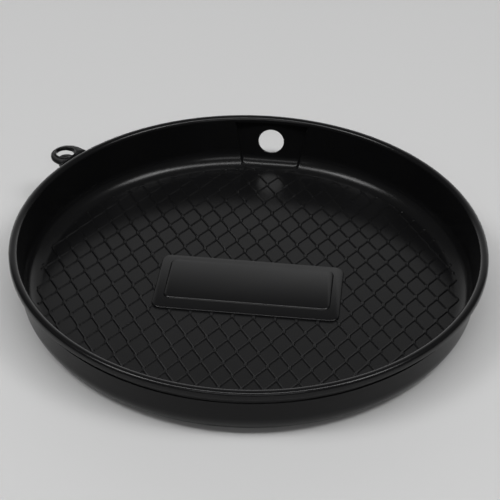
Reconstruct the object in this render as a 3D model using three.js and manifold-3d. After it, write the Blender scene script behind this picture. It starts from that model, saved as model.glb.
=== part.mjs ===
// Round shallow drain pan, moulded in black plastic: a flat floor with a diamond lattice of low ribs,
// a rounded base corner, a slightly flared wall, a rounded rim with a turned-down lip, a flat drain
// panel with an outlet hole, a hang tab and a plain raised nameplate.
// Millimetres, +Z up. The origin is the centre of the underside; +Y points to the outlet.
import * as THREE from "three";
import { mergeVertices } from "three/addons/utils/BufferGeometryUtils.js";
import Module from "manifold-3d";

const wasm = await Module();
wasm.setup();

// Driving dimensions
const panHeight = 71;
const rimRadius = 286;
const skin = 2;
const seam = 0.3;
const turns = 60;

// Floor, base corner and wall
const cornerRadius = 24;
const floorRadius = 250.5;
const wallTop = 64;
const wallFlare = 2.5 / 40;

// Rim: a broad inner roll and a rounded outer lip that ends in a short skirt
const rollInner = floorRadius + cornerRadius - skin + (wallTop - cornerRadius) * wallFlare;
const rollEdge = 5.5;
const rollOuter = rollInner + rollEdge;
const lipEdge = 4.8;
const rimUnder = 67.5;
const skirtBottom = 62;
const skirtThickness = 2.2;

// Shoulder bead round the wall, just under the skirt
const shoulderHeight = 50;
const shoulderWidth = 3;
const shoulderDepth = 0.9;

// Drain panel: a pocket pushed outwards, with its own foot fillet and two narrow cheeks
const panelTilt = THREE.MathUtils.degToRad(7);
const panelFootY = 255.81;
const panelFillet = 16;
const panelHalfWidth = 36.9;
const panelSpread = 0.168;
const panelTop = rimUnder - seam;
const panelSplit = 12;
const outletRadius = 17;
const outletHeight = 36;

// Diamond lattice: ribs 30 degrees either side of +Y, joined by a narrow border
const latticePitch = 25.4;
const latticeStart = [1.4, -133];
const ribAngle = Math.PI / 6;
const ribWidth = 2.6;
const ribHeight = 1.2;
const latticeRadius = 249.5;
const latticeBorder = 2.2;
const smallestWindow = 0.12;

// Nameplate: a plain two-step raised plate
const plateCentre = [2, -10];
const plateSize = [226, 108];
const plateCorner = 12;
const plateBaseHeight = 2.4;
const fieldCentre = [2, -5.5];
const fieldSize = [202, 79];
const fieldCorner = 9;
const fieldHeight = 1.6;
const plateBevel = 1.2;
const plateClearance = 3;

// Hang tab
const tabAzimuth = THREE.MathUtils.degToRad(148.4);
const tabTop = 69.5;
const tabThickness = 4.5;
const tabReach = 296;
const tabRadius = 22;
const tabHoleReach = 301;
const tabHoleRadius = 11.3;
const tabBeadWidth = 3;
const tabBeadHeight = 1.3;
const lugRadius = 11;
const lugReach = 299;
const lugBottom = 50;

// ---------- helpers ----------

function toManifold(geometry) {
  const bare = new THREE.BufferGeometry();
  bare.setAttribute("position", geometry.getAttribute("position"));
  if (geometry.index) bare.setIndex(geometry.index);
  const merged = mergeVertices(bare, 1e-4);
  const vertProperties = new Float32Array(merged.getAttribute("position").array);
  const triVerts = dropSlivers(merged.index.array);
  return new wasm.Manifold(new wasm.Mesh({ numProp: 3, vertProperties, triVerts }));
}

// A lathe leaves triangles of no area at the axis, which would repeat a vertex.
function dropSlivers(triVerts) {
  const kept = [];
  for (let i = 0; i < triVerts.length; i += 3) {
    const [a, b, c] = [triVerts[i], triVerts[i + 1], triVerts[i + 2]];
    if (a !== b && b !== c && c !== a) kept.push(a, b, c);
  }
  return new Uint32Array(kept);
}

function toGeometry(solid) {
  const mesh = solid.getMesh();
  const geometry = new THREE.BufferGeometry();
  geometry.setAttribute("position", new THREE.BufferAttribute(mesh.vertProperties, 3));
  geometry.setIndex(new THREE.BufferAttribute(mesh.triVerts, 1));
  geometry.computeVertexNormals();
  return geometry;
}

function signedArea(points) {
  return points.reduce((sum, p, i) => {
    const q = points[(i + 1) % points.length];
    return sum + (p[0] * q[1] - q[0] * p[1]) / 2;
  }, 0);
}

// A ring or disc about +Z from [radius, height] points; the lathe's own axis is +Y.
function revolve(points) {
  const ordered = signedArea(points) > 0 ? points : [...points].reverse();
  const onAxis = ordered.some(([radius]) => radius === 0);
  const start = onAxis ? ordered.findIndex(([r], i) => r === 0 && ordered.at(i - 1)[0] === 0) : 0;
  const turned = [...ordered.slice(start), ...ordered.slice(0, start)];
  const profile = onAxis ? turned : [...turned, turned[0]];
  const lathe = new THREE.LatheGeometry(profile.map(([r, z]) => new THREE.Vector2(r, z)), turns);
  return toManifold(lathe.rotateX(Math.PI / 2));
}

// A prism of [x, z] points, running along +Y from yStart to yEnd.
function prismAlongY(points, yStart, yEnd) {
  const shape = new THREE.Shape(points.map(([x, z]) => new THREE.Vector2(x, z)));
  const prism = new THREE.ExtrudeGeometry(shape, { depth: yEnd - yStart, bevelEnabled: false });
  return toManifold(prism.rotateX(Math.PI / 2).translate(0, yEnd, 0));
}

// A prism of [y, z] points, centred on the YZ plane.
function prismAlongX(points, halfWidth) {
  const shape = new THREE.Shape(points.map(([y, z]) => new THREE.Vector2(y, z)));
  const prism = new THREE.ExtrudeGeometry(shape, { depth: 2 * halfWidth, bevelEnabled: false });
  const frame = new THREE.Matrix4().makeBasis(
    new THREE.Vector3(0, 1, 0),
    new THREE.Vector3(0, 0, 1),
    new THREE.Vector3(1, 0, 0),
  );
  return toManifold(prism.applyMatrix4(frame).translate(-halfWidth, 0, 0));
}

function cylinder(radius, zLow, zHigh, sides = 48) {
  const geometry = new THREE.CylinderGeometry(radius, radius, zHigh - zLow, sides);
  return toManifold(geometry.rotateX(Math.PI / 2).translate(0, 0, (zLow + zHigh) / 2));
}

function arc(centre, radius, fromDegrees, toDegrees, steps) {
  return Array.from({ length: steps + 1 }, (_, i) => {
    const angle = THREE.MathUtils.degToRad(fromDegrees + ((toDegrees - fromDegrees) * i) / steps);
    return [centre[0] + radius * Math.cos(angle), centre[1] + radius * Math.sin(angle)];
  });
}

function roundedRectangle([width, height], radius) {
  const [x, y] = [width / 2 - radius, height / 2 - radius];
  const corners = [[x, y, 0], [-x, y, 90], [-x, -y, 180], [x, -y, 270]];
  const outline = corners.flatMap(([cx, cy, turn]) => arc([cx, cy], radius, turn, turn + 90, 5));
  return new THREE.Shape(outline.map(([px, py]) => new THREE.Vector2(px, py)));
}

const black = new THREE.Color(0.022, 0.022, 0.024);
const plastic = (roughness) => new THREE.MeshStandardMaterial({ color: black, roughness, metalness: 0 });
const shellPlastic = plastic(0.34);
const wallPlastic = plastic(0.3);
const rimPlastic = plastic(0.28);
const ribPlastic = plastic(0.38);
const platePlastic = plastic(0.24);

const pan = new THREE.Group();

function add(name, solid, material) {
  const mesh = new THREE.Mesh(toGeometry(solid), material);
  mesh.name = name;
  pan.add(mesh);
}

// ---------- the pan's inner and outer surfaces ----------

const innerWallAt = (z) => floorRadius + cornerRadius - skin + (z - cornerRadius) * wallFlare;
const outerWallAt = (z) => innerWallAt(z) + skin;
const cornerCentre = [floorRadius, cornerRadius];
const innerCorner = arc(cornerCentre, cornerRadius - skin, -90, 0, 5);
const outerCorner = arc(cornerCentre, cornerRadius, -90, 0, 5);

function cavity(top) {
  return revolve([[0, skin], ...innerCorner, [innerWallAt(top), top], [0, top]]);
}

// ---------- the drain pocket ----------

const pocketHalfWidth = (z) => panelHalfWidth + panelSpread * z;

// Side view of the pocket out to a skin outside its inner face.
function pocketSide(offset, top) {
  const radius = panelFillet + offset;
  const centre = [panelFootY, skin + panelFillet];
  const fillet = arc(centre, radius, -90, -THREE.MathUtils.radToDeg(panelTilt), 5);
  const [footY, footZ] = fillet.at(-1);
  const topY = footY + (top - footZ) * Math.tan(panelTilt);
  return [[floorRadius - 20, skin - offset], ...fillet, [topY, top], [floorRadius - 20, top]];
}

// Front view of the pocket, grown sideways by margin.
function pocketFront(margin, low = -1, high = panelTop + 1) {
  const [bottom, top] = [pocketHalfWidth(low) + margin, pocketHalfWidth(high) + margin];
  return prismAlongY([[-bottom, low], [bottom, low], [top, high], [-top, high]], 200, 300);
}

const pocketOuter = prismAlongX(pocketSide(skin, panelTop), 80).subtract(skirtRoom());
const pocketInner = prismAlongX(pocketSide(0, panelTop + 1), 80);
const pocketShell = pocketOuter.subtract(pocketInner);
const ringOpening = pocketFront(skin + seam);
const floorDisc = cylinder(floorRadius + seam, -1, skin + 1, turns);

// The space of the rim's skirt, which the top of the pocket stays out of.
function skirtRoom() {
  const skirtInner = rimRadius - skirtThickness - seam;
  return revolve([
    [skirtInner, panHeight],
    [skirtInner, skirtBottom - seam],
    [rimRadius + 20, skirtBottom - seam],
    [rimRadius + 20, panHeight],
  ]);
}

function below(z) {
  return prismAlongX([[200, -5], [300, -5], [300, z], [200, z]], 90);
}

// ---------- pieces of the shell ----------

function floorPlate() {
  return revolve([[0, 0], [floorRadius, 0], [floorRadius, skin], [0, skin]]);
}

function baseCornerRing() {
  const ring = revolve([...innerCorner, ...[...outerCorner].reverse()]);
  return ring.subtract(ringOpening);
}

function sideWall() {
  const ring = revolve([
    [innerWallAt(cornerRadius), cornerRadius],
    [outerWallAt(cornerRadius), cornerRadius],
    [outerWallAt(wallTop), wallTop],
    [innerWallAt(wallTop), wallTop],
  ]);
  return ring.subtract(ringOpening);
}

function shoulderBead() {
  const foot = outerWallAt(shoulderHeight) + seam;
  const half = shoulderWidth / 2;
  const ring = revolve([
    [foot + half * wallFlare, shoulderHeight + half],
    [foot - half * wallFlare, shoulderHeight - half],
    [foot + shoulderDepth, shoulderHeight - half / 2],
    [foot + shoulderDepth, shoulderHeight + half / 2],
  ]);
  return ring.subtract(pocketFront(skin + 2 * seam + shoulderWidth));
}

function drainPanel() {
  const hole = cylinder(outletRadius, -40, 40).rotate([90, 0, 0]).translate([0, 260, outletHeight]);
  return pocketShell.intersect(pocketFront(-seam / 2)).subtract(below(panelSplit)).subtract(hole);
}

function drainPanelFoot() {
  return pocketShell.intersect(pocketFront(-seam / 2)).intersect(below(panelSplit)).subtract(floorDisc);
}

function drainCheek(side) {
  const slab = pocketFront(skin).subtract(pocketFront(seam / 2));
  const half = prismAlongX([[200, -5], [300, -5], [300, 90], [200, 90]], 60).translate([side * 60, 0, 0]);
  const rollClearance = cylinder(rollOuter + seam, wallTop - seam, panHeight, turns);
  const body = slab.intersect(half).intersect(pocketOuter);
  return body.subtract(cavity(panelTop + 1)).subtract(rollClearance).subtract(floorDisc);
}

// ---------- rim ----------

function rimInnerRoll() {
  const edge = arc([rollInner + rollEdge, panHeight - rollEdge], rollEdge, 180, 90, 3);
  return revolve([
    [outerWallAt(wallTop), wallTop],
    [innerWallAt(wallTop), wallTop],
    ...edge,
    [rollOuter, rimUnder],
    [outerWallAt(wallTop), rimUnder],
  ]);
}

function rimOuterLip() {
  const edge = arc([rimRadius - lipEdge, panHeight - lipEdge], lipEdge, 90, 0, 5);
  return revolve([
    [rollOuter, rimUnder],
    [rollOuter, panHeight],
    ...edge,
    [rimRadius, skirtBottom],
    [rimRadius - skirtThickness, skirtBottom],
    [rimRadius - skirtThickness, rimUnder],
  ]);
}

// ---------- lattice and nameplate ----------

const windowHalf = [
  latticePitch / 2 - ribWidth / 2 / Math.cos(ribAngle),
  (latticePitch / 2 - ribWidth / 2 / Math.cos(ribAngle)) / Math.tan(ribAngle),
];
const [rowPitch, latticeTop] = [latticePitch / Math.tan(ribAngle), skin + ribHeight];

function latticeWindow(x, y) {
  const [across, along] = windowHalf;
  const corners = [[across, 0], [0, along], [-across, 0], [0, -along]];
  const shape = new THREE.Shape(corners.map(([cx, cy]) => new THREE.Vector2(cx, cy)));
  const prism = new THREE.ExtrudeGeometry(shape, { depth: 2 * ribHeight, bevelEnabled: false });
  return toManifold(prism.translate(x, y, skin - ribHeight / 2));
}

// Windows stand in rows half a pitch apart, with every second row shifted by half a pitch.
function latticeWindows(field) {
  const whole = latticeWindow(0, 0).volume();
  const reach = Math.ceil((2 * floorRadius) / latticePitch) + 1;
  const windows = [];
  for (let row = -reach; row <= reach; row += 1) {
    for (let column = -reach; column <= reach; column += 1) {
      const shift = row % 2 === 0 ? 0.5 : 0;
      const x = latticeStart[0] + (column + shift) * latticePitch;
      const y = latticeStart[1] + (row * rowPitch) / 2;
      if (Math.hypot(x, y) > floorRadius + rowPitch) continue;
      const opening = latticeWindow(x, y).intersect(field);
      if (opening.volume() > smallestWindow * whole) windows.push(opening);
    }
  }
  return wasm.Manifold.union(windows);
}

function latticeRibs() {
  const web = cylinder(latticeRadius, skin, latticeTop, turns).subtract(nameplateRoom(plateClearance));
  const inner = cylinder(latticeRadius - latticeBorder, 0, 10, turns);
  const field = inner.subtract(nameplateRoom(plateClearance + latticeBorder));
  return web.subtract(latticeWindows(field));
}

function plateBlock(size, corner, centre, base, height) {
  const depth = height - plateBevel;
  const bevel = { bevelThickness: plateBevel, bevelSize: plateBevel, bevelOffset: -plateBevel };
  const options = { depth, ...bevel, bevelSegments: 2, bevelEnabled: true, curveSegments: 4 };
  const block = new THREE.ExtrudeGeometry(roundedRectangle(size, corner), options);
  const solid = toManifold(block.translate(centre[0], centre[1], base));
  return solid.intersect(cylinder(floorRadius, base, base + height + 1));
}

function nameplateRoom(margin) {
  const outline = roundedRectangle(plateSize.map((side) => side + 2 * margin), plateCorner + margin);
  const block = new THREE.ExtrudeGeometry(outline, { depth: 10, bevelEnabled: false });
  return toManifold(block.translate(plateCentre[0], plateCentre[1], 0));
}

function nameplateBase() {
  return plateBlock(plateSize, plateCorner, plateCentre, skin, plateBaseHeight);
}

function nameplateField() {
  return plateBlock(fieldSize, fieldCorner, fieldCentre, skin + plateBaseHeight, fieldHeight);
}

// ---------- hang tab ----------

// A point at a given reach along the tab's direction.
const alongTab = (reach) => [reach * Math.cos(tabAzimuth), reach * Math.sin(tabAzimuth)];

function tabDisc(radius, reach, zLow, zHigh) {
  const [x, y] = alongTab(reach);
  return cylinder(radius, zLow, zHigh, 40).translate([x, y, 0]);
}

function rimKeepOut() {
  return cylinder(rimRadius + seam, 0, panHeight + 5, turns);
}

function tabNeck() {
  const neck = new THREE.BoxGeometry(tabReach - rimRadius + 4, 2 * tabRadius, tabThickness);
  neck.translate((tabReach + rimRadius - 4) / 2, 0, tabTop - tabThickness / 2);
  return toManifold(neck.rotateZ(tabAzimuth));
}

function hangTab() {
  const disc = tabDisc(tabRadius, tabReach, tabTop - tabThickness, tabTop);
  const eye = tabDisc(tabHoleRadius, tabHoleReach, 0, panHeight);
  return disc.add(tabNeck()).subtract(eye).subtract(rimKeepOut());
}

function hangTabBead() {
  const [low, high] = [tabTop, tabTop + tabBeadHeight];
  const outer = tabDisc(tabHoleRadius + tabBeadWidth, tabHoleReach, low, high);
  const inner = tabDisc(tabHoleRadius + 0.4, tabHoleReach, low - 1, high + 1);
  return outer.subtract(inner).subtract(rimKeepOut());
}

function hangTabLug() {
  const tip = tabDisc(lugRadius, lugReach, lugBottom, skirtBottom - seam);
  const root = new THREE.BoxGeometry(lugReach - floorRadius, 2 * lugRadius, skirtBottom - seam - lugBottom);
  root.translate((lugReach + floorRadius) / 2, 0, (skirtBottom - seam + lugBottom) / 2);
  const wall = cylinder(outerWallAt(wallTop) + 2 * seam + shoulderDepth, 0, panHeight, turns);
  return tip.add(toManifold(root.rotateZ(tabAzimuth))).subtract(wall);
}

add("floor_plate", floorPlate(), shellPlastic);
add("base_corner_ring", baseCornerRing(), shellPlastic);
add("side_wall", sideWall(), wallPlastic);
add("wall_shoulder_bead", shoulderBead(), wallPlastic);
add("drain_panel", drainPanel(), wallPlastic);
add("drain_panel_foot", drainPanelFoot(), shellPlastic);
add("drain_cheek_left", drainCheek(-1), wallPlastic);
add("drain_cheek_right", drainCheek(1), wallPlastic);
add("rim_inner_roll", rimInnerRoll(), rimPlastic);
add("rim_outer_lip", rimOuterLip(), rimPlastic);
add("lattice_ribs", latticeRibs(), ribPlastic);
add("nameplate_base", nameplateBase(), platePlastic);
add("nameplate_field", nameplateField(), platePlastic);
add("hang_tab", hangTab(), rimPlastic);
add("hang_tab_bead", hangTabBead(), rimPlastic);
add("hang_tab_lug", hangTabLug(), shellPlastic);

export default pan;
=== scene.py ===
"""Looks of a round moulded drain pan in semi-gloss black plastic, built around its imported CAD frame.

Metres, +Z up, with the origin at the centre of the underside and +Y towards the outlet.
The tub's inner and outer skins are one grid of columns round the pan and rows up its profile. The grid
is cut into the pan's named zones, and each zone becomes a closed solid that keeps the whole grid's
normals.
"""

import bmesh
import bpy
import numpy as np
from mathutils import Matrix, Vector


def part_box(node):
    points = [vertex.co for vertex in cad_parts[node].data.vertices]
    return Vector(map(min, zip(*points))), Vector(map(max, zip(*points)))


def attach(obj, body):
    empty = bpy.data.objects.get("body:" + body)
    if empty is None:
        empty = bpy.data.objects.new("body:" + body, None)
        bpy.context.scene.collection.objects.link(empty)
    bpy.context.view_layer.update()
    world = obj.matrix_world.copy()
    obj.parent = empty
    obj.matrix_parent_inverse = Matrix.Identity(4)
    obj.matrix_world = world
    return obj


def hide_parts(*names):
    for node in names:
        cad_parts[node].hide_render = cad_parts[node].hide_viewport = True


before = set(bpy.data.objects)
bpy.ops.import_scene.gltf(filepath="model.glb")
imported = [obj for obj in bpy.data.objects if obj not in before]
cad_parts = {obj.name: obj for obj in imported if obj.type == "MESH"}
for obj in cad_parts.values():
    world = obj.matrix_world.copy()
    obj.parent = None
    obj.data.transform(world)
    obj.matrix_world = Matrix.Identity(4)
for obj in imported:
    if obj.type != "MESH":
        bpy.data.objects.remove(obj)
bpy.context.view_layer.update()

MM = 0.001

# ---------- sizes read from the frame ----------

floor_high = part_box("floor_plate")[1]
corner_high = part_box("base_corner_ring")[1]
wall_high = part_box("side_wall")[1]
roll_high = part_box("rim_inner_roll")[1]
lip_low, lip_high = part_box("rim_outer_lip")
panel_low, panel_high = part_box("drain_panel")
bead_low, bead_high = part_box("wall_shoulder_bead")

FLOOR_RADIUS = floor_high.x
SKIN = floor_high.z
CORNER_HEIGHT = corner_high.z
WALL_TOP = wall_high.z
FLARE = (wall_high.x - corner_high.x) / (WALL_TOP - CORNER_HEIGHT)
RIM_RADIUS = lip_high.x
RIM_TOP = roll_high.z
ROLL_CROWN = roll_high.x
LIP_TOP = lip_high.z
SKIRT_BOTTOM = lip_low.z
PANEL_FOOT_TOP = panel_low.z
PANEL_TOP = panel_high.z
BEAD_HEIGHT = (bead_low.z + bead_high.z) / 2
RIB_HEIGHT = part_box("lattice_ribs")[1].z - SKIN
PLATE_LOW, PLATE_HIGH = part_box("nameplate_base")

# ---------- sizes of the fine shape ----------

# Drain pocket: foot line, fillet, tilt and sides of its flat panel
FOOT_Y = 255.81 * MM
FOOT_FILLET = 16 * MM
PANEL_TILT = np.radians(7)
PANEL_HALF_WIDTH = 36.9 * MM
PANEL_SPREAD = 0.168
CHEEK_HALF = 2 * MM
CHEEK_FOOT = 7 * MM
CHEEK_PULL = 3.4 * CHEEK_HALF
SKIRT_CLEARANCE = 283.3 * MM

# The wall beside the pocket: its reach, and how its top blends up to the panel's
POCKET_REACH = np.radians(20)
POCKET_FADE = 2.5
LIFT_START = 0.92

# Outlet, and the stretch of the panel that is remade around it
OUTLET_RADIUS = 17 * MM
OUTLET_HEIGHT = 36 * MM
OUTLET_EDGE = 0.4 * MM
PATCH_MARGIN = 4.5 * MM
PATCH_SHARE = 0.62

# Shoulder bead on the outside of the wall
BEAD_DEPTH = 1.3 * MM
BEAD_RISE = (-1.8 * MM, -0.6 * MM, -0.2 * MM, 0.6 * MM)
BEAD_ZONE = 2 * MM

# Steps of the tub's grid: up the profile, and across each kind of column
CORNER_STEPS = 24
WALL_STEPS = 20
BEAD_STEPS = 20
TOP_STEPS = 8
CHEEK_STEPS = 14
NEAR_STEPS = 12
FAR_STEPS = 160
PANEL_STEPS = 28

# Rings of the floor, as shares of its radius
FLOOR_RINGS = (0.8, 0.55, 0.3, 0.1)

# Rim section: radii of the inner roll and the outer lip, the skirt's thickness and edges, the underside
ROLL_EDGE = 5.5 * MM
LIP_EDGE = 4.8 * MM
SKIRT_THICKNESS = 2.2 * MM
SKIRT_OUTER_EDGE = 1 * MM
SKIRT_INNER_EDGE = 0.8 * MM
RIM_UNDER = 67.5 * MM

# Diamond lattice
PITCH = 25.4 * MM
LATTICE_START = (1.4 * MM, -133 * MM)
RIB_ANGLE = np.radians(30)
HALF_ROW = PITCH / np.tan(RIB_ANGLE) / 2
RIB_FADE = (253.6 * MM, 256.4 * MM)
RIB_STEP = 0.3 * MM
RIB_EXTRA_ROW = 8.4 * MM
RIB_CLEARANCE = 0.01 * MM
EMBED = 0.35 * MM
RIB_KEEL = -EMBED - 0.4 * MM
PLATE_MARGIN = 4 * MM

# Where two ribs meet: gap and reach of the shared ridge, its bends and how high it fills
NODE_GAP = 0.9 * MM
NODE_REACH = 3.0 * MM
BEND = 1.4 * MM
BEND_STEPS = 6
NODE_FILL = 0.86

# Half section of a rib: distance from its centre line and height above the floor
RIB_SECTION = [
    (0.18 * MM, 0.97 * RIB_HEIGHT),
    (0.42 * MM, 0.86 * RIB_HEIGHT),
    (0.75 * MM, 0.63 * RIB_HEIGHT),
    (1.08 * MM, 0.39 * RIB_HEIGHT),
    (1.36 * MM, 0.19 * RIB_HEIGHT),
    (1.56 * MM, 0.06 * RIB_HEIGHT),
    (1.68 * MM, -EMBED),
]
RIB_HALF_WIDTH = RIB_SECTION[-1][0]

# Small domes that end the lattice's lines
END_REACH = 255 * MM
END_RADIUS = 2.3 * MM
END_SIDES = 14
END_TURNS = np.radians(np.linspace(0, 84, 8))

# Nameplate: corner radius and bevel height of its base and its field
PLATE_SHAPES = {
    "nameplate_base": (12 * MM, 0.5 * MM),
    "nameplate_field": (9 * MM, 1.0 * MM),
}
PLATE_BEVEL = np.radians(35)
PLATE_DRAFT = 0.3 * MM
PLATE_SOFT = 0.18 * MM

# Hang tab, its eye and bead, and the lug below it, along the tab's own +X
TAB_TURN = Matrix.Rotation(np.radians(148.4), 4, "Z")
TAB_REACH = 296 * MM
TAB_RADIUS = 22 * MM
TAB_ROOT = RIM_RADIUS - 0.4 * MM
TAB_EDGE = 1.6 * MM
TAB_CENTRE = 295 * MM
EYE_REACH = 301 * MM
EYE_RADIUS = 11.3 * MM
EYE_BEAD_MIDDLE = EYE_RADIUS + 1.6 * MM
EYE_BEAD_HALF = 1.26 * MM
BEAD_ROOT = 0.3 * MM
LUG_REACH = 299 * MM
LUG_RADIUS = 11 * MM
LUG_ROOT = 276.6 * MM
LUG_DOME = 5 * MM
LUG_CREST = 1 * MM


# ---------- materials ----------

BLACK = (0.0050, 0.0050, 0.0053)
DARKEST, PALEST = 0.8, 1.25

# Noise scales per metre, and the depth of the bumps they make
CLOUD_SCALE = 14
SMUDGE_SCALE = 38
GRAIN_SCALE = 2600
GRAIN_DEPTH = 0.02 * MM
WAVE_SCALE = 55
WAVE_DEPTH = 0.2 * MM


def node(tree, kind, **inputs):
    """A shader node whose named inputs are set to values or linked to sockets."""
    made = tree.nodes.new(kind)
    for name, value in inputs.items():
        socket = made.inputs[name.replace("_", " ")]
        if isinstance(value, bpy.types.NodeSocket):
            tree.links.new(value, socket)
        else:
            socket.default_value = value
    return made


def noise(tree, vector, scale, detail, roughness=0.5):
    made = node(
        tree, "ShaderNodeTexNoise", Vector=vector, Scale=scale, Detail=detail, Roughness=roughness
    )
    return made.outputs["Fac"]


def plastic(name, roughness, grain, waviness, specular=0.22, spread=0.03):
    """Moulded black plastic: cloudy tone, uneven gloss, fine mould grain and faint long waves."""
    material = bpy.data.materials.new(name)
    material.use_nodes = True
    tree = material.node_tree
    surface = tree.nodes["Principled BSDF"]
    place = tree.nodes.new("ShaderNodeTexCoord").outputs["Object"]

    clouds = noise(tree, place, CLOUD_SCALE, 4.0)
    mix = node(tree, "ShaderNodeMix", Factor=clouds)
    mix.data_type = "RGBA"
    mix.inputs["A"].default_value = (*[DARKEST * c for c in BLACK], 1)
    mix.inputs["B"].default_value = (*[PALEST * c for c in BLACK], 1)
    tree.links.new(mix.outputs["Result"], surface.inputs["Base Color"])

    smudges = noise(tree, place, SMUDGE_SCALE, 5.0, 0.62)
    gloss = node(tree, "ShaderNodeMapRange", Value=smudges)
    gloss.inputs["To Min"].default_value = roughness - spread
    gloss.inputs["To Max"].default_value = roughness + spread
    tree.links.new(gloss.outputs["Result"], surface.inputs["Roughness"])

    fine = noise(tree, place, GRAIN_SCALE, 2.0)
    waves = noise(tree, place, WAVE_SCALE, 1.0)
    low_bump = node(tree, "ShaderNodeBump", Height=waves, Strength=waviness, Distance=WAVE_DEPTH)
    bump = node(tree, "ShaderNodeBump", Height=fine, Strength=grain, Distance=GRAIN_DEPTH)
    tree.links.new(low_bump.outputs["Normal"], bump.inputs["Normal"])
    tree.links.new(bump.outputs["Normal"], surface.inputs["Normal"])
    surface.inputs["Specular IOR Level"].default_value = specular
    return material


MATERIALS = {
    "pan_shell": plastic("pan_shell", roughness=0.22, grain=0.30, waviness=0.10),
    "pan_wall": plastic("pan_wall", roughness=0.22, grain=0.25, waviness=0.08, specular=0.17),
    "pan_rim": plastic("pan_rim", roughness=0.19, grain=0.20, waviness=0.06),
    "pan_lattice": plastic("pan_lattice", roughness=0.24, grain=0.25, waviness=0.08),
    "nameplate": plastic("nameplate", roughness=0.20, grain=0.20, waviness=0.06),
}


def finish_piece(piece, slot, *nodes):
    """Gives a piece its material and hands it to the frame in place of its CAD nodes."""
    piece.data.materials.clear()
    piece.data.materials.append(MATERIALS[slot])
    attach(piece, "root")
    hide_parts(*nodes)


# ---------- shared shapes ----------

def link_mesh(name, mesh):
    piece = bpy.data.objects.new(name, mesh)
    bpy.context.scene.collection.objects.link(piece)
    return piece


def outward(mesh):
    """Turns all the faces of a closed mesh outwards."""
    work = bmesh.new()
    work.from_mesh(mesh)
    bmesh.ops.remove_doubles(work, verts=work.verts, dist=MM / 1000)
    bmesh.ops.recalc_face_normals(work, faces=work.faces)
    work.to_mesh(mesh)
    work.free()


def solid(name, points, faces, sharp_angle):
    """A closed, smooth-shaded piece whose edges above the given angle, in degrees, stay sharp."""
    mesh = bpy.data.meshes.new(name)
    mesh.from_pydata(points, [], faces)
    outward(mesh)
    mesh.polygons.foreach_set("use_smooth", [True] * len(mesh.polygons))
    mesh.set_sharp_from_angle(angle=np.radians(sharp_angle))
    return link_mesh(name, mesh)


def band(count, size, closed):
    """Faces along count sections of size points; closed joins the last section to the first."""
    faces = []
    for i in range(count if closed else count - 1):
        j = (i + 1) % count
        for k in range(size):
            m = (k + 1) % size
            faces.append([i * size + k, i * size + m, j * size + m, j * size + k])
    return faces


def stack(outlines):
    """Points and faces of a solid from its level outlines, lowest first, closed at both ends."""
    count, size = len(outlines), len(outlines[0])
    points = [point for outline in outlines for point in outline]
    bottom = list(reversed(range(size)))
    top = [(count - 1) * size + i for i in range(size)]
    return points, [bottom, *band(count, size, closed=False), top]


def arc(centre, radius, start, end, steps):
    turns = np.radians(np.linspace(start, end, steps + 1))
    return [(centre[0] + radius * np.cos(a), centre[1] + radius * np.sin(a)) for a in turns]


def smooth_step(value):
    value = np.clip(value, 0, 1)
    return value * value * (3 - 2 * value)


# ---------- the tub's profile ----------

def profile_rows(offset):
    """Radius and height of each row from the floor's edge up, offset outside the inner skin."""
    radius = CORNER_HEIGHT - SKIN + offset
    turns = np.radians(np.linspace(0, 90, CORNER_STEPS + 1))
    corner = [(FLOOR_RADIUS + radius * np.sin(a), CORNER_HEIGHT - radius * np.cos(a)) for a in turns]
    top_radius, _ = corner[-1]
    bead_start, bead_end = BEAD_HEIGHT - BEAD_ZONE, BEAD_HEIGHT + BEAD_ZONE
    heights = [
        *np.linspace(CORNER_HEIGHT, bead_start, WALL_STEPS + 1)[1:],
        *np.linspace(bead_start, bead_end, BEAD_STEPS + 1)[1:],
        *np.linspace(bead_end, WALL_TOP, TOP_STEPS + 1)[1:],
    ]
    return corner + [(top_radius + FLARE * (z - CORNER_HEIGHT), z) for z in heights]


def panel_depth(z, offset):
    """The panel's Y at height z: a fillet from the floor, then the tilted plane."""
    radius = FOOT_FILLET + offset
    centre_z = SKIN + FOOT_FILLET
    tangent_z = centre_z - radius * np.sin(PANEL_TILT)
    if z < tangent_z:
        return FOOT_Y + np.sqrt(max(radius**2 - (centre_z - z) ** 2, 0))
    return FOOT_Y + radius * np.cos(PANEL_TILT) + (z - tangent_z) * np.tan(PANEL_TILT)


def pocket_half_width(z, offset):
    """Half the width between the two cheeks, rounded in towards the floor."""
    rise = min(max(z - SKIN + offset, 0), CHEEK_FOOT)
    rounding = CHEEK_FOOT - np.sqrt(CHEEK_FOOT**2 - (CHEEK_FOOT - rise) ** 2)
    return PANEL_HALF_WIDTH + PANEL_SPREAD * z + offset - rounding


def column_list():
    """Columns (kind, side, value) from -180 to 180 degrees off +Y: wall, cheek, panel, cheek, wall."""
    cheek = [("cheek", t) for t in np.linspace(0, 1, CHEEK_STEPS + 1)]
    near = [("wall", s) for s in np.linspace(0, 1, NEAR_STEPS + 1)[1:]]
    far = [("far", a) for a in np.linspace(POCKET_REACH, np.pi, FAR_STEPS + 1)[1:]]
    right = cheek + near + far
    left = [(kind, -1, value) for kind, value in reversed(right[:-1])]
    panel = [("panel", 0, t) for t in np.linspace(-1, 1, PANEL_STEPS + 1)[1:-1]]
    return left + panel + [(kind, 1, value) for kind, value in right]


COLUMNS = column_list()


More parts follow.
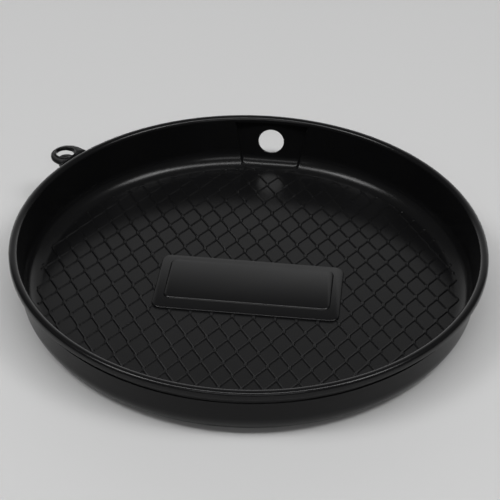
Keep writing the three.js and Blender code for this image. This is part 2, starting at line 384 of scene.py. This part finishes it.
def tub_point(column, radius, z, offset):
    """Where a column meets the section at height z, where the round wall has the given radius."""
    kind, side, value = column
    if kind == "far":
        return side * radius * np.sin(value), radius * np.cos(value)
    half = pocket_half_width(z, offset)
    depth = panel_depth(z, offset)
    inner, outer = half - CHEEK_HALF, half + CHEEK_HALF
    if kind == "panel":
        return value * inner, depth
    turn = np.arcsin(outer / radius)
    if kind == "wall":
        angle = turn + (POCKET_REACH - turn) * value
        return side * radius * np.sin(angle), radius * np.cos(angle)
    start, end = np.array([inner, depth]), np.array([outer, radius * np.cos(turn)])
    leave = np.array([CHEEK_PULL, 0])
    arrive = CHEEK_PULL * np.array([np.cos(turn), -np.sin(turn)])
    t = value
    hermite = (2 * t**3 - 3 * t**2 + 1) * start + (t**3 - 2 * t**2 + t) * leave
    hermite += (3 * t**2 - 2 * t**3) * end + (t**3 - t**2) * arrive
    return side * hermite[0], hermite[1]


def near_pocket(column):
    """1 on the panel, fading to 0 along the wall beside it."""
    kind, _, value = column
    if kind == "far":
        return 0.0
    return 1.0 - smooth_step(value * POCKET_FADE) if kind == "wall" else 1.0


def bead_swell(z):
    """How far the shoulder bead stands out at height z: a soft lower side and a crisp upper one."""
    start, low, high, end = (BEAD_HEIGHT + step for step in BEAD_RISE)
    lower, upper = smooth_step((z - start) / (low - start)), np.clip((end - z) / (end - high), 0, 1)
    return BEAD_DEPTH * min(lower, upper)


def skin_grid(offset):
    """Points of one skin: grid[row][column]. Row 0 is the floor's edge on every column."""
    rows = profile_rows(offset)
    edge = [tub_point(column, *rows[0], offset) for column in COLUMNS]
    scales = [FLOOR_RADIUS / np.hypot(x, y) for x, y in edge]
    grid = [[(x * s, y * s, SKIN - offset) for (x, y), s in zip(edge, scales)]]
    for radius, z in rows:
        stretch = smooth_step((z - LIFT_START * WALL_TOP) / ((1 - LIFT_START) * WALL_TOP))
        ring = []
        for column in COLUMNS:
            pocket = near_pocket(column)
            height = z + pocket * stretch * (PANEL_TOP - WALL_TOP)
            x, y = tub_point(column, radius, height, offset)
            swell = bead_swell(z) * (1 - pocket) if offset > 0 else 0.0
            reach = np.hypot(x, y)
            limit = SKIRT_CLEARANCE if height > SKIRT_BOTTOM - MM else 2 * RIM_RADIUS
            scale = min(reach + swell, limit) / reach
            ring.append((x * scale, y * scale, height))
        grid.append(ring)
    return grid


# ---------- zones of the tub ----------

class Tub:
    """Both skins of the tub, with the faces of each named zone."""

    def __init__(self):
        self.points = []
        self.known = {}
        self.zones = {}

    def point(self, inner, outer):
        """Adds an inner point and the outer one across the skin, and returns the inner one's index."""
        key = tuple(round(c * 1e7) for c in inner)
        if key not in self.known:
            self.known[key] = len(self.points)
            self.points += [inner, outer]
        return self.known[key]

    def face(self, zone, corners):
        """Adds an inner face, anticlockwise as seen from inside the pan, unless it has closed up."""
        loop = [c for i, c in enumerate(corners) if c != corners[i - 1]]
        if len(set(loop)) == len(loop) >= 3:
            self.zones.setdefault(zone, []).append(loop)

    def normals(self):
        """Smooth normals over both whole skins."""
        mesh = bpy.data.meshes.new("skins")
        faces = [loop for loops in self.zones.values() for loop in loops]
        outer = [[c + 1 for c in reversed(loop)] for loop in faces]
        mesh.from_pydata(self.points, [], faces + outer)
        values = np.zeros(3 * len(mesh.vertices), np.float32)
        mesh.vertex_normals.foreach_get("vector", values)
        bpy.data.meshes.remove(mesh)
        return values.reshape(-1, 3)

    def build(self, zone, normals):
        """One zone as a closed solid: its inner faces, its outer faces and the edges that join them."""
        loops = self.zones[zone]
        edges = {(a, b) for loop in loops for a, b in zip(loop, loop[1:] + loop[:1])}
        border = [(a, b) for a, b in edges if (b, a) not in edges]
        skins = loops + [[c + 1 for c in reversed(loop)] for loop in loops]
        walls = [[b, a, a + 1, b + 1] for a, b in sorted(border)]
        used = sorted({c for loop in skins for c in loop})
        place = {c: i for i, c in enumerate(used)}
        mesh = bpy.data.meshes.new(zone)
        faces = [[place[c] for c in loop] for loop in skins + walls]
        mesh.from_pydata([self.points[c] for c in used], [], faces)
        mesh.polygons.foreach_set("use_smooth", [True] * len(faces))
        custom = [tuple(normals[c]) for loop in skins for c in loop]
        for polygon in list(mesh.polygons)[len(skins):]:
            custom += [tuple(polygon.normal)] * polygon.loop_total
        mesh.normals_split_custom_set(custom)
        return link_mesh(zone, mesh)


def zone_of(height, column):
    kind, side, _ = column
    if kind == "cheek":
        return "drain_cheek_left" if side < 0 else "drain_cheek_right"
    if kind == "panel":
        return "drain_panel_foot" if height < PANEL_FOOT_TOP else "drain_panel"
    return "base_corner_ring" if height < CORNER_HEIGHT - MM / 100 else "side_wall"


def strip_owner(left, right):
    """A strip between two columns is the cheek's if both are, and otherwise the plainer one's."""
    if left[0] == right[0] == "cheek" and left[1] == right[1]:
        return left
    if "panel" in (left[0], right[0]):
        return left if left[0] == "panel" else right
    return left if left[0] in ("wall", "far") else right


def in_outlet_patch(height, column):
    """Whether a point of the grid lies in the stretch of the panel that is remade."""
    near = abs(height - OUTLET_HEIGHT) < OUTLET_RADIUS + PATCH_MARGIN
    return near and column[0] == "panel" and abs(column[2]) < PATCH_SHARE


def outlet_patch(tub, inner, outer, boundary):
    """Fills the gap in the panel from its boundary to the outlet's slightly rounded edge."""
    def ring_point(grid_point, side, share, radius, inset):
        x, _, z = grid_point
        angle = np.arctan2(z - OUTLET_HEIGHT, x)
        end = (radius * np.cos(angle), OUTLET_HEIGHT + radius * np.sin(angle))
        px, pz = (1 - share) * x + share * end[0], (1 - share) * z + share * end[1]
        return px, panel_depth(pz, side) + (inset if side == 0 else -inset), pz

    turns = np.radians([0, 22.5, 45, 67.5, 90])
    stages = [(share, OUTLET_RADIUS + OUTLET_EDGE, 0) for share in (0.4, 0.75)]
    for a in turns:
        stages.append((1.0, OUTLET_RADIUS + OUTLET_EDGE * (1 - np.sin(a)), OUTLET_EDGE * (1 - np.cos(a))))
    rings = [[tub.point(inner[r][c], outer[r][c]) for r, c in boundary]]
    for stage in stages:
        rings.append([
            tub.point(ring_point(inner[r][c], 0, *stage), ring_point(outer[r][c], SKIN, *stage))
            for r, c in boundary
        ])
    count = len(boundary)
    for near, far in zip(rings, rings[1:]):
        for i in range(count):
            j = (i + 1) % count
            tub.face("drain_panel", [near[i], near[j], far[j], far[i]])


def loop_round(cells):
    """The grid corners round a block of cells, in order."""
    rows = sorted({r for r, _ in cells})
    columns = sorted({c for _, c in cells})
    low, high, left, right = rows[0], rows[-1] + 1, columns[0], columns[-1] + 1
    bottom = [(low, c) for c in range(left, right)]
    side = [(r, right) for r in range(low, high)]
    top = [(high, c) for c in range(right, left, -1)]
    back = [(r, left) for r in range(high, low, -1)]
    return bottom + side + top + back


def floor_disc(tub, edge):
    """The flat floor: rings inward from its edge, closed at the centre."""
    count = len(edge)
    rings = [edge]
    for share in FLOOR_RINGS:
        ring = [(tub.points[i][0] * share, tub.points[i][1] * share) for i in edge]
        rings.append([tub.point((x, y, SKIN), (x, y, 0.0)) for x, y in ring])
    for outer, inner in zip(rings, rings[1:]):
        for i in range(count):
            j = (i + 1) % count
            tub.face("floor_plate", [inner[i], inner[j], outer[j], outer[i]])
    centre = tub.point((0.0, 0.0, SKIN), (0.0, 0.0, 0.0))
    for i in range(count):
        tub.face("floor_plate", [centre, rings[-1][(i + 1) % count], rings[-1][i]])


def build_tub():
    inner, outer = skin_grid(0), skin_grid(SKIN)
    heights = [0.0] + [z for _, z in profile_rows(0)]
    tub = Tub()
    index = [[tub.point(i, o) for i, o in zip(*rows)] for rows in zip(inner, outer)]
    patch = set()
    for row in range(len(index) - 1):
        for left, column in enumerate(COLUMNS):
            right = (left + 1) % len(COLUMNS)
            if in_outlet_patch(heights[row], column) and in_outlet_patch(heights[row + 1], COLUMNS[right]):
                patch.add((row, left))
                continue
            corners = [index[row][left], index[row][right], index[row + 1][right], index[row + 1][left]]
            tub.face(zone_of(heights[row], strip_owner(column, COLUMNS[right])), corners)
    outlet_patch(tub, inner, outer, loop_round(patch))
    floor_disc(tub, index[0])
    normals = tub.normals()
    for zone in tub.zones:
        piece = tub.build(zone, normals)
        slot = "pan_shell" if zone in ("base_corner_ring", "drain_panel_foot", "floor_plate") else "pan_wall"
        nodes = ("side_wall", "wall_shoulder_bead") if zone == "side_wall" else (zone,)
        finish_piece(piece, slot, *nodes)


# ---------- rim ----------

def rim_piece(name, profile):
    """A closed section of [radius, height] points, turned about +Z on the tub's own top columns."""
    radius, height = profile_rows(0)[-1]
    top = [tub_point(column, radius, height, 0) for column in COLUMNS]
    turns = [np.arctan2(x, y) for x, y in top]
    points = [(r * np.sin(a), r * np.cos(a), z) for a in turns for r, z in profile]
    piece = solid(name, points, band(len(turns), len(profile), closed=True), 35)
    finish_piece(piece, "pan_rim", name)


def build_rim():
    wall_inner = FLOOR_RADIUS + CORNER_HEIGHT - SKIN + FLARE * (WALL_TOP - CORNER_HEIGHT)
    wall_outer = wall_inner + SKIN
    roll = [(wall_outer, WALL_TOP), (wall_inner, WALL_TOP)]
    roll += arc((ROLL_CROWN, RIM_TOP - ROLL_EDGE), ROLL_EDGE, 180, 90, 20)
    roll += [(ROLL_CROWN, RIM_UNDER), (wall_outer, RIM_UNDER)]
    rim_piece("rim_inner_roll", roll)

    skirt_inner = RIM_RADIUS - SKIRT_THICKNESS
    outer_edge = (RIM_RADIUS - SKIRT_OUTER_EDGE, SKIRT_BOTTOM + SKIRT_OUTER_EDGE)
    inner_edge = (skirt_inner + SKIRT_INNER_EDGE, SKIRT_BOTTOM + SKIRT_INNER_EDGE)
    lip = [(ROLL_CROWN, RIM_UNDER), (ROLL_CROWN, LIP_TOP)]
    lip += arc((RIM_RADIUS - LIP_EDGE, LIP_TOP - LIP_EDGE), LIP_EDGE, 90, 0, 18)
    lip += arc(outer_edge, SKIRT_OUTER_EDGE, 0, -90, 5)
    lip += arc(inner_edge, SKIRT_INNER_EDGE, -90, -180, 4)
    lip += [(skirt_inner, RIM_UNDER)]
    rim_piece("rim_outer_lip", lip)


# ---------- lattice ----------

def floor_height(x, y):
    """Height of the pan's inner surface at a point of the floor or its rounded corner."""
    radius = CORNER_HEIGHT - SKIN
    out = np.hypot(x, y) - FLOOR_RADIUS
    in_pocket = abs(x) < PANEL_HALF_WIDTH - CHEEK_FOOT and 0 < y < FOOT_Y
    if out <= 0 or in_pocket:
        return SKIN
    return CORNER_HEIGHT - np.sqrt(radius**2 - min(out, 0.9 * radius) ** 2)


def rib_course(strip, y):
    """Centre line of the rib that zigzags in a strip half a pitch wide: X at a given Y, and slope."""
    row = round((y - LATTICE_START[1]) / HALF_ROW)
    away = y - LATTICE_START[1] - row * HALF_ROW
    side = -1 if (row - strip) % 2 == 0 else 1
    past = abs(away) - NODE_REACH
    bend = np.clip(past + BEND, 0, 2 * BEND)
    travel = bend**2 / (4 * BEND) + max(past - BEND, 0)
    swing = (PITCH / 4 - NODE_GAP) / (HALF_ROW / 2 - NODE_REACH)
    middle = LATTICE_START[0] + (strip + 0.5) * PITCH / 2
    x = middle + side * (PITCH / 4 - NODE_GAP - swing * travel)
    slope = -side * swing * np.sign(away) * bend / (2 * BEND)
    return x, slope


def rib_section(strip, x, y, slope):
    """The closed section of a rib at a point of its course.

    Beside a lattice node it meets the next strip's rib, so that the two make one ridge along Y. At the
    floor's edge it rounds off and sinks in.
    """
    spread = np.sqrt(1 + slope**2)
    low_edge = LATTICE_START[0] + strip * PITCH / 2 + RIB_CLEARANCE
    high_edge = low_edge + PITCH / 2 - 2 * RIB_CLEARANCE
    side = -1 if x - low_edge < high_edge - x else 1
    edge_gap = min(x - low_edge, high_edge - x)
    merging = smooth_step((RIB_HALF_WIDTH - edge_gap) / (RIB_HALF_WIDTH - NODE_GAP))
    crest = [*[(-w, rise) for w, rise in reversed(RIB_SECTION)], (0.0, RIB_HEIGHT), *RIB_SECTION]
    section = []
    for across, rise in crest:
        if across * side > 0 and rise > 0:
            rise = max(rise, merging * NODE_FILL * RIB_HEIGHT)
        px = np.clip(x + across * spread, low_edge, high_edge)
        share = (np.hypot(px, y) - RIB_FADE[0]) / (RIB_FADE[1] - RIB_FADE[0])
        fade = np.sqrt(1 - np.clip(share, 0, 1) ** 2)
        section.append((px, y, floor_height(px, y) + fade * (rise + EMBED) - EMBED))
    return [*section, (x, y, floor_height(x, y) + RIB_KEEL)]


def under_nameplate(x, y):
    across = PLATE_LOW.x + PLATE_MARGIN < x < PLATE_HIGH.x - PLATE_MARGIN
    return across and PLATE_LOW.y + PLATE_MARGIN < y < PLATE_HIGH.y - PLATE_MARGIN


def rib_rows(strip):
    """Y values along a rib: close together in its bends and where it rounds off at the floor's edge."""
    bends = np.linspace(NODE_REACH - BEND, NODE_REACH + BEND, BEND_STEPS + 1)
    last = int(FLOOR_RADIUS / HALF_ROW) + 2
    shift = round(LATTICE_START[1] / HALF_ROW)
    rows = {
        round(LATTICE_START[1] + row * HALF_ROW + sign * step, 6)
        for row in range(-last - shift, last - shift + 1)
        for step in (0, *bends, RIB_EXTRA_ROW)
        for sign in (-1, 1)
    }
    for y in np.arange(-RIB_FADE[1], RIB_FADE[1], RIB_STEP):
        if RIB_FADE[0] - MM < np.hypot(rib_course(strip, y)[0], y) < RIB_FADE[1] + MM:
            rows.add(round(float(y), 6))
    return sorted(rows)


def rib_runs(strip):
    """Stretches of a rib that lie on the free floor, each a list of sections."""
    runs = [[]]
    for y in rib_rows(strip):
        x, slope = rib_course(strip, y)
        if np.hypot(x, y) < RIB_FADE[1] + MM and not under_nameplate(x, y):
            runs[-1].append(rib_section(strip, x, y, slope))
        elif runs[-1]:
            runs.append([])
    return [run for run in runs if len(run) > 2]


def rib_ends():
    """Where the lattice's lines meet the circle of small domes that ends them."""
    ends = []
    step = PITCH * np.cos(RIB_ANGLE)
    for side in (-1, 1):
        along = np.array([side * np.sin(RIB_ANGLE), np.cos(RIB_ANGLE)])
        across = np.array([along[1], -along[0]])
        start = across @ np.array(LATTICE_START)
        for line in range(int((-END_REACH - start) / step), int((END_REACH - start) / step) + 1):
            offset = start + line * step
            half = np.sqrt(END_REACH**2 - offset**2)
            ends += [offset * across + half * along, offset * across - half * along]
    return ends


def dome(x, y):
    """A small dome sunk into the floor, as outlines from its foot up."""
    base = floor_height(x, y)
    levels = [(END_RADIUS, base - EMBED)]
    levels += [(END_RADIUS * np.cos(a), base + RIB_HEIGHT * np.sin(a)) for a in END_TURNS]
    turns = 2 * np.pi * np.arange(END_SIDES) / END_SIDES
    return [[(x + r * np.cos(a), y + r * np.sin(a), z) for a in turns] for r, z in levels]


def build_lattice():
    reach = int(RIB_FADE[1] / (PITCH / 2)) + 1
    parts = [dome(x, y) for x, y in rib_ends()]
    parts += [run for strip in range(-reach, reach) for run in rib_runs(strip)]
    points, faces = [], []
    for part in parts:
        part_points, part_faces = stack(part)
        faces += [[len(points) + c for c in face] for face in part_faces]
        points += part_points
    finish_piece(solid("lattice_web", points, faces, 70), "pan_lattice", "lattice_ribs")


# ---------- nameplate ----------

def rounded_outline(low, high, radius):
    """Points of a rounded rectangle, anticlockwise."""
    outline = []
    middle = (low + high) / 2
    for x, y, turn in ((high.x, high.y, 0), (low.x, high.y, 90), (low.x, low.y, 180), (high.x, low.y, 270)):
        centre = (x - np.sign(x - middle.x) * radius, y - np.sign(y - middle.y) * radius)
        outline += arc(centre, radius, turn, turn + 90, 8)
    return outline


def stepped_plate(name, outline_of, levels, sharp_angle=32):
    """A closed plate from [inset, height] levels, each an outline drawn in by its inset."""
    outlines = [[(x, y, z) for x, y in outline_of(inset)] for inset, z in levels]
    return solid(name, *stack(outlines), sharp_angle)


def bevelled_edge(z_low, z_high, bevel):
    """Side of a plate as [inset, height] levels: a drafted wall and a bevelled top edge."""
    run = bevel / np.tan(PLATE_BEVEL)
    turn_in = PLATE_DRAFT + PLATE_SOFT / bevel * run / 2
    top = PLATE_DRAFT + run
    return [
        (0.0, z_low),
        (PLATE_DRAFT, z_high - bevel - PLATE_SOFT),
        (turn_in, z_high - bevel),
        (top, z_high - PLATE_SOFT / 4),
        (top + PLATE_SOFT, z_high),
    ]


def build_nameplate():
    for name, (radius, bevel) in PLATE_SHAPES.items():
        low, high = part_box(name)

        def outline_of(inset, low=low, high=high, radius=radius):
            shrink = Vector((inset, inset, 0))
            return rounded_outline(low + shrink, high - shrink, radius - inset)

        plate = stepped_plate(name + "_fine", outline_of, bevelled_edge(low.z, high.z, bevel))
        finish_piece(plate, "nameplate", name)


# ---------- hang tab ----------

def tab_rings():
    """Outer outline and eye of the tab, with as many points as each other."""
    nose = arc((TAB_REACH, 0), TAB_RADIUS, -90, 90, 40)
    flank = [(x, TAB_RADIUS) for x in np.linspace(TAB_REACH, TAB_ROOT, 8)[1:]]
    root = [(TAB_ROOT, y) for y in np.linspace(TAB_RADIUS, -TAB_RADIUS, 17)[1:-1]]
    back = [(x, -TAB_RADIUS) for x in np.linspace(TAB_ROOT, TAB_REACH, 8)[:-1]]
    outer = nose + flank + root + back
    angles = [np.arctan2(y, x - EYE_REACH) for x, y in outer]
    eye = [(EYE_REACH + EYE_RADIUS * np.cos(a), EYE_RADIUS * np.sin(a)) for a in angles]
    return outer, eye


def drawn_in(ring, inset):
    """A ring of the tab, moved towards the tab's centre by an inset, or away by a negative one."""
    centre = np.array([TAB_CENTRE, 0])
    moved = []
    for point in ring:
        out = np.array(point) - centre
        moved.append(tuple(centre + out * (1 - inset / np.hypot(*out))))
    return moved


def build_tab():
    low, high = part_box("hang_tab")
    outer, eye = tab_rings()
    rounding = [(TAB_EDGE * (1 - np.cos(a)), TAB_EDGE * (1 - np.sin(a))) for a in np.radians([0, 30, 60, 90])]
    levels = [(outer, inset, low.z + rise) for inset, rise in rounding[::-1]]
    levels += [(outer, inset, high.z - rise) for inset, rise in rounding]
    levels += [(eye, -inset, high.z - rise) for inset, rise in rounding[::-1]]
    levels += [(eye, -inset, low.z + rise) for inset, rise in rounding]
    points = [(x, y, z) for ring, inset, z in levels for x, y in drawn_in(ring, inset)]
    tab = solid("hang_tab_fine", points, band(len(levels), len(outer), closed=True), 50)
    tab.data.transform(TAB_TURN)
    finish_piece(tab, "pan_rim", "hang_tab")


def build_tab_bead():
    """A half-round bead all round the eye."""
    low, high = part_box("hang_tab_bead")
    middle, half = EYE_BEAD_MIDDLE, EYE_BEAD_HALF
    rise = high.z - low.z
    section = [(middle + half * np.cos(a), low.z + rise * np.sin(a)) for a in np.linspace(0, np.pi, 11)]
    section += [(middle - half, low.z - BEAD_ROOT), (middle + half, low.z - BEAD_ROOT)]
    turns = np.linspace(0, 2 * np.pi, 73)[:-1]
    points = [(EYE_REACH + r * np.cos(a), r * np.sin(a), z) for a in turns for r, z in section]
    bead = solid("hang_tab_bead_fine", points, band(len(turns), len(section), closed=True), 50)
    bead.data.transform(TAB_TURN)
    finish_piece(bead, "pan_rim", "hang_tab_bead")


def build_lug():
    """A rounded ear on the wall below the tab, with a domed underside."""
    low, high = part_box("hang_tab_lug")

    def outline_of(inset):
        radius = LUG_RADIUS - inset
        nose = arc((LUG_REACH, 0), radius, -90, 90, 20)
        flank = [(x, radius) for x in np.linspace(LUG_REACH, LUG_ROOT, 5)[1:]]
        return nose + flank + [(x, -y) for x, y in reversed(flank)]

    levels = [
        (LUG_DOME * (1 - np.sin(a)), low.z + LUG_DOME * (1 - np.cos(a)))
        for a in np.radians([0, 22, 45, 67, 90])
    ]
    levels += [
        (LUG_CREST * (1 - np.cos(a)), high.z - LUG_CREST * (1 - np.sin(a)))
        for a in np.radians([0, 30, 60, 90])
    ]
    lug = stepped_plate("hang_tab_lug_fine", outline_of, levels)
    lug.data.transform(TAB_TURN)
    finish_piece(lug, "pan_shell", "hang_tab_lug")


# ---------- stage, light and camera ----------

STAGE_HALF = 9.0
STAGE_TONE = 0.62
STUDIO_REACH = 7.0

# World light: the room, and the backdrop's sides, height and tone
ROOM = 0.10
BACKDROP_SIDE = 0.62
BACKDROP_MIDDLE = 0.86
BACKDROP_HEIGHT = 0.6
BACKDROP_FOOT = 1.5
BACKDROP_TOP = 0.45

# Softboxes: turn from the camera's side, height, angular width and height in degrees, and radiance
SOFTBOXES = {
    "overhead": (0, 74, (64, 10), 8),
    "near_camera": (0, 36, (44, 9), 3),
    "left": (-74, 54, (16, 16), 8),
    "right": (74, 54, (16, 16), 8),
}

# Camera: its distance and shifts are in rim radii
CAMERA_AZIMUTH = np.radians(5.696)
CAMERA_ELEVATION = np.radians(35.845)
CAMERA_ROLL = np.radians(1.104)
CAMERA_DISTANCE = 6.8508
CAMERA_RIGHT = 0.008
CAMERA_UP = 0.1473
CAMERA_SENSOR = 36
CAMERA_LENS = 115.33


def stage_material():
    material = bpy.data.materials.new("pale_floor")
    material.use_nodes = True
    surface = material.node_tree.nodes["Principled BSDF"]
    surface.inputs["Base Color"].default_value = (STAGE_TONE, STAGE_TONE, STAGE_TONE, 1)
    surface.inputs["Roughness"].default_value = 0.9
    surface.inputs["Specular IOR Level"].default_value = 0.1
    return material


def build_stage():
    mesh = bpy.data.meshes.new("floor")
    corners = ((-1, -1), (1, -1), (1, 1), (-1, 1))
    mesh.from_pydata([(STAGE_HALF * x, STAGE_HALF * y, 0) for x, y in corners], [], [[0, 1, 2, 3]])
    mesh.materials.append(stage_material())
    link_mesh("floor", mesh)


def studio_direction(turn, height):
    """Unit vector at an angle round from the camera's side and an angle above the floor."""
    angle = CAMERA_AZIMUTH + np.radians(turn)
    level = np.cos(np.radians(height))
    return Vector((np.sin(angle) * level, -np.cos(angle) * level, np.sin(np.radians(height))))


def softbox(name, turn, height, spread, radiance):
    """A softbox that faces the pan from a direction."""
    light = bpy.data.lights.new(name, "AREA")
    light.shape = "RECTANGLE"
    light.size, light.size_y = (2 * STUDIO_REACH * np.tan(np.radians(angle) / 2) for angle in spread)
    light.energy = radiance * np.pi * light.size * light.size_y
    lamp = bpy.data.objects.new(name, light)
    lamp.location = STUDIO_REACH * studio_direction(turn, height)
    lamp.rotation_euler = (-lamp.location).to_track_quat("-Z", "Y").to_euler()
    bpy.context.scene.collection.objects.link(lamp)


def build_world():
    """A dark studio with a pale backdrop opposite the camera, brightest at its foot."""
    world = bpy.data.worlds.new("studio")
    world.use_nodes = True
    tree = world.node_tree
    place = tree.nodes.new("ShaderNodeTexCoord").outputs["Generated"]
    facing = tree.nodes.new("ShaderNodeVectorMath")
    facing.operation = "DOT_PRODUCT"
    tree.links.new(place, facing.inputs[0])
    facing.inputs[1].default_value = -studio_direction(0, 0)
    backdrop = node(tree, "ShaderNodeMapRange", Value=facing.outputs["Value"])
    backdrop.interpolation_type = "SMOOTHSTEP"
    backdrop.inputs["From Min"].default_value = BACKDROP_SIDE
    backdrop.inputs["From Max"].default_value = BACKDROP_MIDDLE
    height = node(tree, "ShaderNodeSeparateXYZ", Vector=place).outputs["Z"]
    glow = node(tree, "ShaderNodeMapRange", Value=height)
    glow.inputs["From Max"].default_value = BACKDROP_HEIGHT
    glow.inputs["To Min"].default_value = BACKDROP_FOOT
    glow.inputs["To Max"].default_value = BACKDROP_TOP
    share = tree.nodes.new("ShaderNodeMath")
    share.operation = "MULTIPLY_ADD"
    tree.links.new(backdrop.outputs["Result"], share.inputs[0])
    tree.links.new(glow.outputs["Result"], share.inputs[1])
    share.inputs[2].default_value = ROOM
    background = tree.nodes["Background"]
    background.inputs["Color"].default_value = (1, 1, 1, 1)
    tree.links.new(share.outputs["Value"], background.inputs["Strength"])
    bpy.context.scene.world = world


def build_light():
    build_world()
    for name, (turn, height, spread, radiance) in SOFTBOXES.items():
        softbox(name, turn, height, spread, radiance)


def build_camera():
    """The camera looks along +Y and down, a little from the right, with a slight roll."""
    ahead = Vector((0, np.cos(CAMERA_ELEVATION), -np.sin(CAMERA_ELEVATION)))
    right = Vector((1, 0, 0))
    up = Vector((0, np.sin(CAMERA_ELEVATION), np.cos(CAMERA_ELEVATION)))
    side = np.cos(CAMERA_ROLL) * right + np.sin(CAMERA_ROLL) * up
    top = np.cos(CAMERA_ROLL) * up - np.sin(CAMERA_ROLL) * right
    pose = Matrix((side, top, -ahead)).transposed().to_4x4()
    pose.translation = (side * CAMERA_RIGHT + top * CAMERA_UP - ahead * CAMERA_DISTANCE) * RIM_RADIUS
    camera = bpy.data.cameras.new("camera")
    camera.sensor_width = CAMERA_SENSOR
    camera.lens = CAMERA_LENS
    camera.clip_start, camera.clip_end = 0.05, 50
    eye = bpy.data.objects.new("camera", camera)
    eye.matrix_world = Matrix.Rotation(CAMERA_AZIMUTH, 4, "Z") @ pose
    bpy.context.scene.collection.objects.link(eye)
    bpy.context.scene.camera = eye


build_camera()
build_tub()
build_rim()
build_lattice()
build_nameplate()
build_tab()
build_tab_bead()
build_lug()
build_stage()
build_light()
bpy.context.scene.view_settings.view_transform = "Standard"
